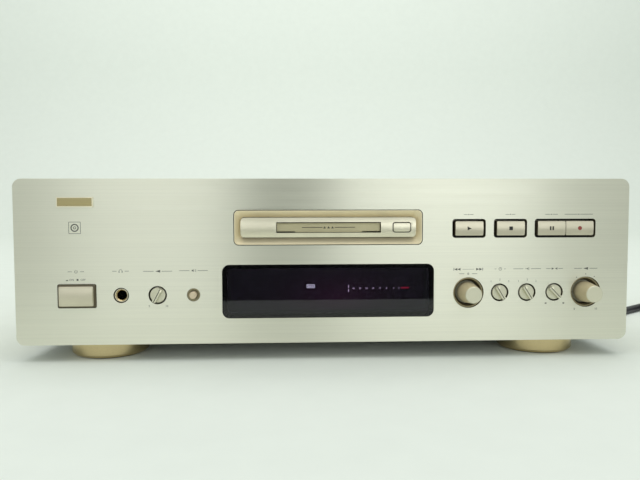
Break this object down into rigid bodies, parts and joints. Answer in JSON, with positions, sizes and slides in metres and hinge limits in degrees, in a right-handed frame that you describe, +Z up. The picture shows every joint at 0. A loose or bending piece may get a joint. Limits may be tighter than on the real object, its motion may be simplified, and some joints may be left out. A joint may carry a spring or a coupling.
{
  "type": "slot-loading minidisc deck",
  "caption": "Full-width hi-fi minidisc deck: brushed champagne panel, flap-covered loading slot, display, buttons, knobs, round feet and a mains cord.",
  "frame": {"origin": "on the floor, below the middle of the deck's box without its mains cord", "axes": "+X to the right seen from the front, +Y to the rear, +Z up; the front panel faces -Y"},
  "size_m": [0.6735, 0.4292, 0.128],
  "materials": {
    "panel": "brushed champagne",
    "black_frame": "satin black",
    "bezel": "satin champagne gold",
    "bar": "satin champagne",
    "flap": "satin champagne",
    "window": "smoked acrylic",
    "tube": "dark glass",
    "board": "solder mask",
    "caps": "satin champagne",
    "switch_plastic": "moulded",
    "gold": "polished gold plate",
    "black_plastic": "moulded",
    "knob": "turned champagne",
    "monitor": "satin",
    "collar": "satin",
    "steel": "bright",
    "white_plastic": "acetal",
    "cover": "satin champagne paint",
    "screw": "champagne plated",
    "sheet": "zinc plated",
    "rubber": "matt",
    "core": "varnished laminations",
    "cord": "satin black sheath",
    "cord_plastic": "satin black moulding"
  },
  "bodies": {
    "root": {"front_panel": "panel", "sub_panel": "black_frame", "loading_bezel": "bezel", "slot_bar": "bar", "display_window": "window", "display_tube": "tube", "front_board": "board", "key_board": "board", "power_switch": "switch_plastic", "phones_ring": "gold", "phones_socket": "black_plastic", "monitor_collar": "collar", "rotary_controls": "switch_plastic", "name_plate": "gold", "top_cover": "cover", "cover_screws": "screw", "chassis_pan": "sheet", "rear_panel": "cover", "feet": "gold", "foot_pads": "rubber", "mech_stands": "sheet", "mech_dampers": "rubber", "mech_frame": "sheet", "loading_motor": "steel", "spindle_motor": "steel", "guide_rods": "steel", "sled_motor": "steel", "main_board": "board", "power_board": "board", "transformer": "core", "rear_jacks": "black_plastic", "cord_bushing": "cord_plastic", "power_cord": "cord", "power_cord_coil": "cord", "power_plug": "cord_plastic"},
    "power": {"power_button": "caps"},
    "play": {"play_button": "caps"},
    "stop": {"stop_button": "caps"},
    "pause": {"pause_button": "caps"},
    "record": {"record_button": "caps"},
    "eject": {"eject_button": "bar"},
    "monitor": {"monitor_button": "monitor"},
    "phones_level": {"phones_level_knob": "knob"},
    "timer": {"timer_knob": "knob"},
    "input_select": {"input_select_knob": "knob"},
    "balance": {"balance_knob": "knob"},
    "select_push": {"select_plunger": "white_plastic"},
    "select": {"select_knob": "knob", "select_shaft": "steel"},
    "input_level": {"input_level_knob": "knob", "level_shaft": "steel"},
    "flap": {"slot_flap": "flap"},
    "loading": {"loading_slider": "white_plastic"},
    "holder": {"cartridge_holder": "sheet"},
    "gear": {"loading_gear": "white_plastic"},
    "disc_drive": {"turntable": "black_plastic"},
    "sled": {"pickup": "switch_plastic"},
    "screw": {"lead_screw": "steel"},
    "arm": {"head_arm": "sheet"}
  },
  "joints": [
    {"name": "power_press", "type": "slide", "parent": "root", "child": "power", "axis": [0, 1, 0], "range_m": [-0.003, 0.001]},
    {"name": "play_press", "type": "slide", "parent": "root", "child": "play", "axis": [0, 1, 0], "range_m": [0, 0.0012], "stiffness_N_per_m": 800, "springref_m": -0.0005},
    {"name": "stop_press", "type": "slide", "parent": "root", "child": "stop", "axis": [0, 1, 0], "range_m": [0, 0.0012], "stiffness_N_per_m": 800, "springref_m": -0.0005},
    {"name": "pause_press", "type": "slide", "parent": "root", "child": "pause", "axis": [0, 1, 0], "range_m": [0, 0.0012], "stiffness_N_per_m": 800, "springref_m": -0.0005},
    {"name": "record_press", "type": "slide", "parent": "root", "child": "record", "axis": [0, 1, 0], "range_m": [0, 0.0012], "stiffness_N_per_m": 800, "springref_m": -0.0005},
    {"name": "eject_press", "type": "slide", "parent": "root", "child": "eject", "axis": [0, 1, 0], "range_m": [0, 0.001], "stiffness_N_per_m": 800, "springref_m": -0.0005},
    {"name": "monitor_press", "type": "slide", "parent": "root", "child": "monitor", "axis": [0, 1, 0], "range_m": [0, 0.0015], "stiffness_N_per_m": 800, "springref_m": -0.0005},
    {"name": "phones_level_turn", "type": "hinge", "parent": "root", "child": "phones_level", "pos_m": [-0.1193, -0.162, 0.0467], "axis": [0, 1, 0], "range_deg": [-178, 122]},
    {"name": "timer_turn", "type": "hinge", "parent": "root", "child": "timer", "pos_m": [0.1235, -0.162, 0.0467], "axis": [0, 1, 0], "range_deg": [0, 62]},
    {"name": "input_select_turn", "type": "hinge", "parent": "root", "child": "input_select", "pos_m": [0.1433, -0.162, 0.0467], "axis": [0, 1, 0], "range_deg": [0, 64]},
    {"name": "balance_turn", "type": "hinge", "parent": "root", "child": "balance", "pos_m": [0.1633, -0.162, 0.0467], "axis": [0, 1, 0], "range_deg": [-106.4, 193.6]},
    {"name": "select_press", "type": "slide", "parent": "root", "child": "select_push", "axis": [0, 1, 0], "range_m": [0, 0.001], "stiffness_N_per_m": 800, "springref_m": -0.0005},
    {"name": "select_turn", "type": "hinge", "parent": "select_push", "child": "select", "pos_m": [0.1008, -0.162, 0.0467], "axis": [0, 1, 0], "continuous": true},
    {"name": "input_level_turn", "type": "hinge", "parent": "root", "child": "input_level", "pos_m": [0.1864, -0.162, 0.0467], "axis": [0, 1, 0], "range_deg": [-150, 150]},
    {"name": "flap_swing", "type": "hinge", "parent": "root", "child": "flap", "pos_m": [0.0007, -0.159, 0.09635], "axis": [1, 0, 0], "range_deg": [0, 85], "stiffness_Nm_per_rad": 0.002, "springref_deg": -17.19},
    {"name": "loading_slide", "type": "slide", "parent": "root", "child": "loading", "axis": [0, 1, 0], "range_m": [0, 0.014]},
    {"name": "holder_lower", "type": "slide", "parent": "root", "child": "holder", "axis": [0, 0, -1], "range_m": [0, 0.004]},
    {"name": "loading_gear_turn", "type": "hinge", "parent": "root", "child": "gear", "pos_m": [0.0417, -0.0958, 0.0757], "axis": [1, 0, 0], "range_deg": [-136, 0]},
    {"name": "turntable_spin", "type": "hinge", "parent": "root", "child": "disc_drive", "pos_m": [0.0007, -0.0958, 0.0827], "axis": [0, 0, 1], "continuous": true},
    {"name": "pickup_slide", "type": "slide", "parent": "root", "child": "sled", "axis": [0, 1, 0], "range_m": [0, 0.016]},
    {"name": "lead_screw_turn", "type": "hinge", "parent": "root", "child": "screw", "pos_m": [-0.0123, -0.0958, 0.0772], "axis": [0, 1, 0], "range_deg": [0, 2900]},
    {"name": "head_arm_lower", "type": "hinge", "parent": "sled", "child": "arm", "pos_m": [0.0007, -0.0543, 0.1047], "axis": [1, 0, 0], "range_deg": [0, 14], "stiffness_Nm_per_rad": 0.01, "springref_deg": -17.19}
  ],
  "couplings": [
    {"joint": "holder_lower", "follows": "loading_slide", "ratio": 0.28571},
    {"joint": "loading_gear_turn", "follows": "loading_slide", "rad_per_m": -166.67},
    {"joint": "lead_screw_turn", "follows": "pickup_slide", "rad_per_m": 3141.6}
  ]
}
